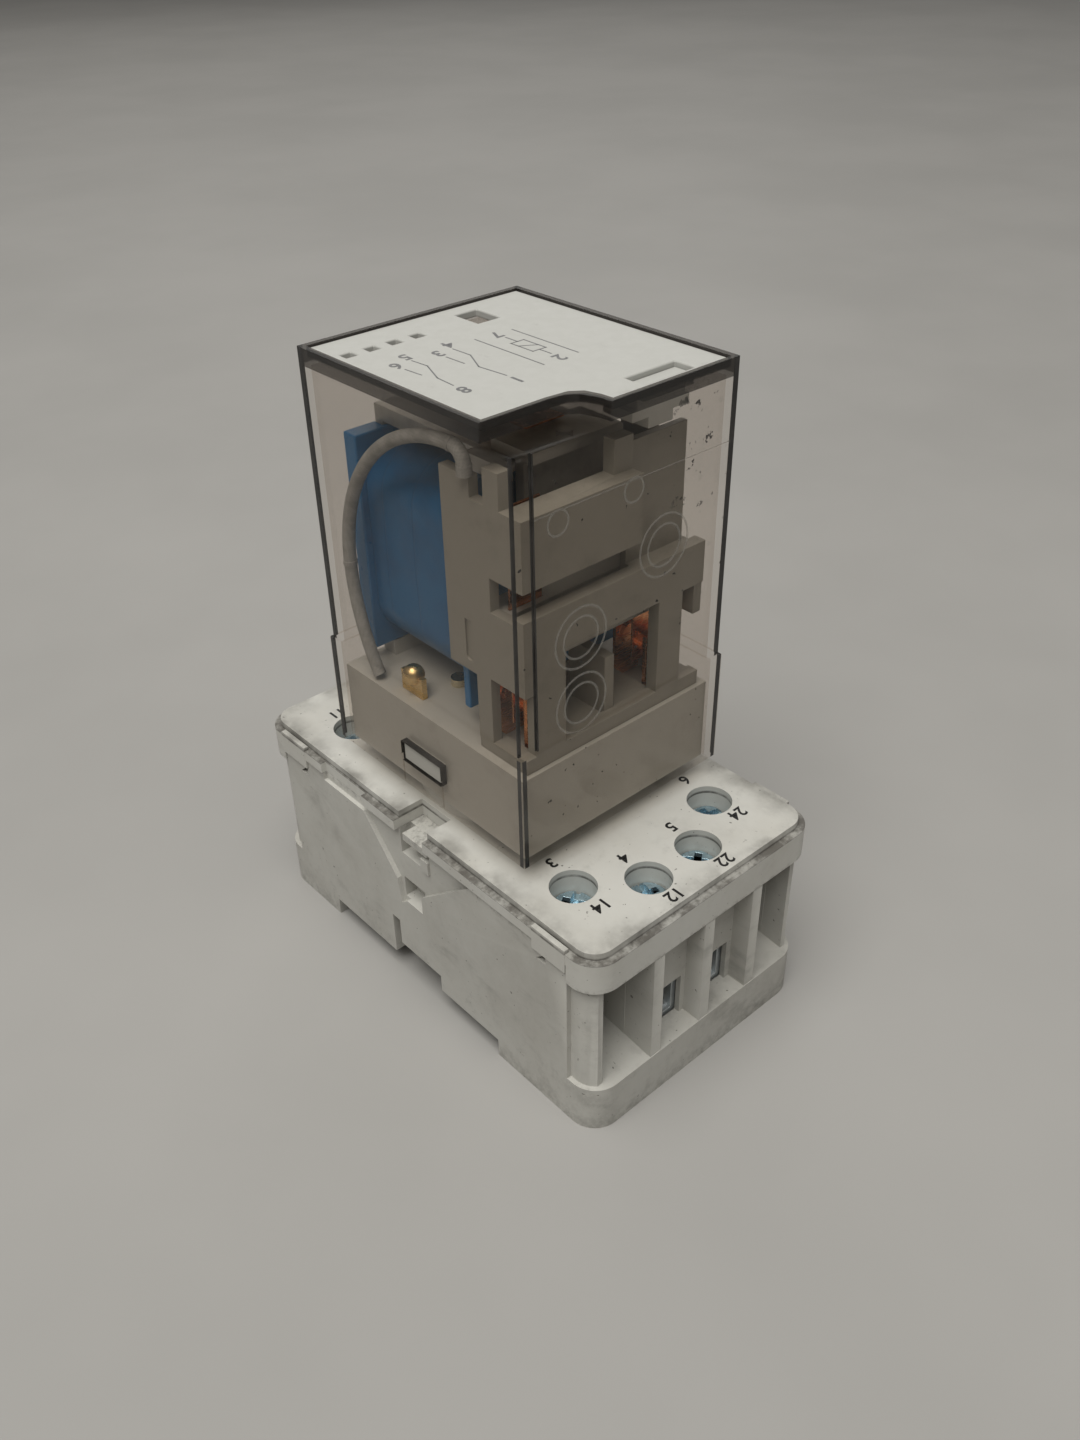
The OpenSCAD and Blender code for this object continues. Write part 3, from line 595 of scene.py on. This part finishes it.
def line_mesh(name, lines, z, width, body, mat):
    bm = bmesh.new()
    for pts in lines:
        for (ax, ay), (bx, by) in zip(pts, pts[1:]):
            a = Vector((ax, ay)) * MM
            b = Vector((bx, by)) * MM
            t = (b - a).normalized()
            n = Vector((-t.y, t.x)) * width * MM / 2
            a -= t * width * MM / 2
            b += t * width * MM / 2
            vs = [bm.verts.new((p.x, p.y, z * MM)) for p in (a + n, a - n, b - n, b + n)]
            f = bm.faces.new(vs)
            f.normal_update()
            if f.normal.z < 0:
                f.normal_flip()
    r = bmesh.ops.extrude_face_region(bm, geom=bm.faces[:])
    bmesh.ops.translate(bm, vec=(0, 0, 0.02 * MM), verts=only_verts(r))
    bmesh.ops.recalc_face_normals(bm, faces=bm.faces)
    o = add(name, bm, [mat])
    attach(o, body)
    return o


# height of the deck prints, in mm, just above the deck
DECK_Z = 31.115
print_mesh("deck_numbers", [
    ("14", -12.6, -28.6, DECK_Z, 2.6, 180), ("12", -4.6, -33.4, DECK_Z, 2.6, 180),
    ("22", 4.9, -33.3, DECK_Z, 2.6, 180), ("24", 13.3, -28.2, DECK_Z, 2.6, 180),
    ("3", -11.8, -18.6, DECK_Z, 2.6, 180), ("4", -4.3, -24.2, DECK_Z, 2.6, 180),
    ("5", 4.7, -24.1, DECK_Z, 2.6, 180), ("6", 13.5, -18.4, DECK_Z, 2.6, 180),
    ("11", -12.6, 28.6, DECK_Z, 2.6, 180), ("A1", -4.6, 33.4, DECK_Z, 2.6, 180),
    ("A2", 4.6, 33.4, DECK_Z, 2.6, 180), ("21", 12.8, 28.6, DECK_Z, 2.6, 180),
    ("1", -12.2, 18.9, DECK_Z, 2.6, 180), ("2", -4.4, 24.3, DECK_Z, 2.6, 180),
    ("7", 4.4, 24.3, DECK_Z, 2.6, 180), ("8", 12.2, 18.9, DECK_Z, 2.6, 180)],
    "socket", MAT["ink"])

# contact diagram and pin numbers on the label plate
LABEL_Z = round(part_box("label_plate")[1][2] / MM, 3)
line_mesh("label_diagram", [
    [(-6.6, 3.9), (-6.5, 0.8)],
    [(-4.3, 5.6), (-4.2, 2.5), (-6.0, -1.2), (-5.6, -5.5)],
    [(-12.5, 3.9), (-12.3, 1.2)],
    [(-10.2, 5.7), (-10.0, 3.1), (-11.6, -0.8), (-11.8, -3.8)],
    [(1.8, 2.3), (3.8, 2.3), (3.8, -1.6), (1.8, -1.6), (1.8, 2.3)],
    [(1.8, 1.0), (3.8, -0.3)],
    [(2.8, 4.4), (2.8, 2.3)],
    [(2.8, -1.6), (2.8, -3.6)],
    [(5.3, 6.1), (5.3, -5.5)],
    [(-0.3, 6.4), (-0.3, -5.8)]],
    LABEL_Z, 0.17, "relay", MAT["ink_grey"])
print_mesh("label_numbers", [
    (text, x, y, LABEL_Z + 0.01, 2.7, 180) for text, x, y in (
        ("7", 2.6, 6.0), ("2", 2.6, -5.2), ("4", -3.8, 7.2), ("3", -6.6, 5.6),
        ("5", -10.1, 7.3), ("6", -12.6, 5.6), ("1", -5.6, -7.2), ("8", -11.8, -5.6))],
    "relay", MAT["ink_grey"])


# plain mould marks on the cover's front wall, and its horizontal mould line
def front_ring(bm, x, z, r, width, y):
    """Flat ring standing just proud of the front wall."""
    count = 40
    loops = []
    for radius in (r - width / 2, r + width / 2):
        turns = [k * math.tau / count for k in range(count)]
        loops.append([bm.verts.new(((x + radius * math.cos(t)) * MM, y, (z + radius * math.sin(t)) * MM))
                      for t in turns])
    for k in range(count):
        n = (k + 1) % count
        bm.faces.new((loops[0][k], loops[1][k], loops[1][n], loops[0][n]))


MARK_Y = mid_y - wall_half[1] - 0.02 * MM
bm = bmesh.new()
for x, z, r in ((-11.0, 79.2, 1.5), (0.5, 79.4, 1.5)):
    front_ring(bm, x, z, r, 0.28, MARK_Y)
for x, z in ((-7.6, 63.6), (5.8, 70.7), (-7.5, 54.5)):
    for r in (2.7, 4.0):
        front_ring(bm, x, z, r, 0.30, MARK_Y)
MOULD_LINE_Z = 80.6
half_line = 0.06
low_z, high_z = MOULD_LINE_Z - half_line, MOULD_LINE_Z + half_line
corners = ((-14.4, low_z), (16.6, low_z), (16.6, high_z), (-14.4, high_z))
bm.faces.new([bm.verts.new((x * MM, MARK_Y, z * MM)) for x, z in corners])
marks = bmesh.ops.extrude_face_region(bm, geom=bm.faces[:])
bmesh.ops.translate(bm, vec=(0, 0.03 * MM, 0), verts=only_verts(marks))
bmesh.ops.recalc_face_normals(bm, faces=bm.faces)
mould_marks = add("mould_marks", bm, [MAT["mould_mark"]])
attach(mould_marks, "relay")

# ---------------------------------------------------------------- floor and light
bm = bmesh.new()
vs = [bm.verts.new(p) for p in ((-3, -3, 0), (3, -3, 0), (3, 4, 0), (-3, 4, 0), (-3, 6, 2.6), (3, 6, 2.6))]
bm.faces.new((vs[0], vs[1], vs[2], vs[3]))
bm.faces.new((vs[3], vs[2], vs[5], vs[4]))
fm = Nodes("floor")
fcol = fm.mix(fm.ramp(fm.noise(9, 4, 0.6), 0.3, 0.7), rgb(0.36, 0.352, 0.338), rgb(0.39, 0.381, 0.366))
fm.principled(fcol, 0.5, 0.0, None, Specular_IOR_Level=0.3)
floor = add("floor", bm, [fm.mat])

world = bpy.data.worlds.new("world")
SCENE.world = world
world.use_nodes = True
bg = world.node_tree.nodes["Background"]
bg.inputs[0].default_value = (1.0, 0.985, 0.95, 1.0)
bg.inputs[1].default_value = 0.165


def area(name, at, to, size, power, color=(1, 1, 1)):
    d = bpy.data.lights.new(name, "AREA")
    d.shape = "RECTANGLE"
    d.size = size[0]
    d.size_y = size[1]
    d.energy = power
    d.color = color
    o = bpy.data.objects.new(name, d)
    SCENE.collection.objects.link(o)
    o.location = at
    o.rotation_euler = (Vector(to) - Vector(at)).to_track_quat("-Z", "Y").to_euler()
    return o


WARM = (1.0, 0.985, 0.945)
area("key", (-0.42, -0.20, 1.38), (0, 0, 0.03), (1.1, 1.1), 21.5, WARM)
area("back", (0.6, 0.9, 0.7), (0, 0, 0.05), (0.9, 0.9), 1.5, WARM)

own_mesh(latch_spring)
